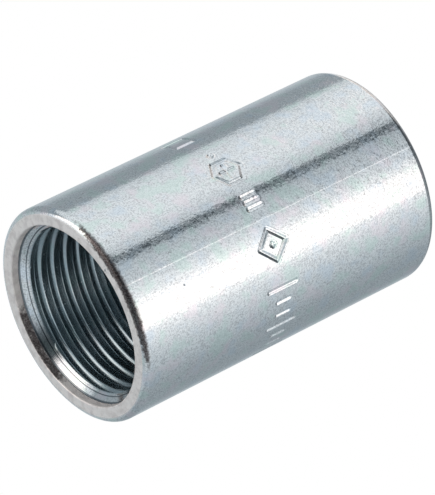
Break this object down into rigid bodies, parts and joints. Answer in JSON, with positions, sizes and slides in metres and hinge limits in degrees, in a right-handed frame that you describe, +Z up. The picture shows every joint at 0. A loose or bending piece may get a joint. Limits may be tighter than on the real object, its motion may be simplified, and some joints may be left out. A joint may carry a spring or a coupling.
{
  "type": "threaded conduit coupling",
  "caption": "Zinc-plated steel sleeve with a parallel internal pipe thread from end to end, which joins two threaded rigid conduits end to end.",
  "frame": {"origin": "on the bore's axis, halfway between the two end faces", "axes": "+X along the bore's axis; +Z up, with the coupling lying on its side; the stamped marks run round the sleeve from the top (+Z) over the front (-Y)"},
  "size_m": [0.0422, 0.0256, 0.0256],
  "materials": {
    "zinc_plated_steel": "bright zinc plating with a clear blue passivate over drawn steel tube, faintly grained, with small stains and scratches"
  },
  "bodies": {
    "root": {"coupling": "zinc_plated_steel"}
  },
  "joints": []
}
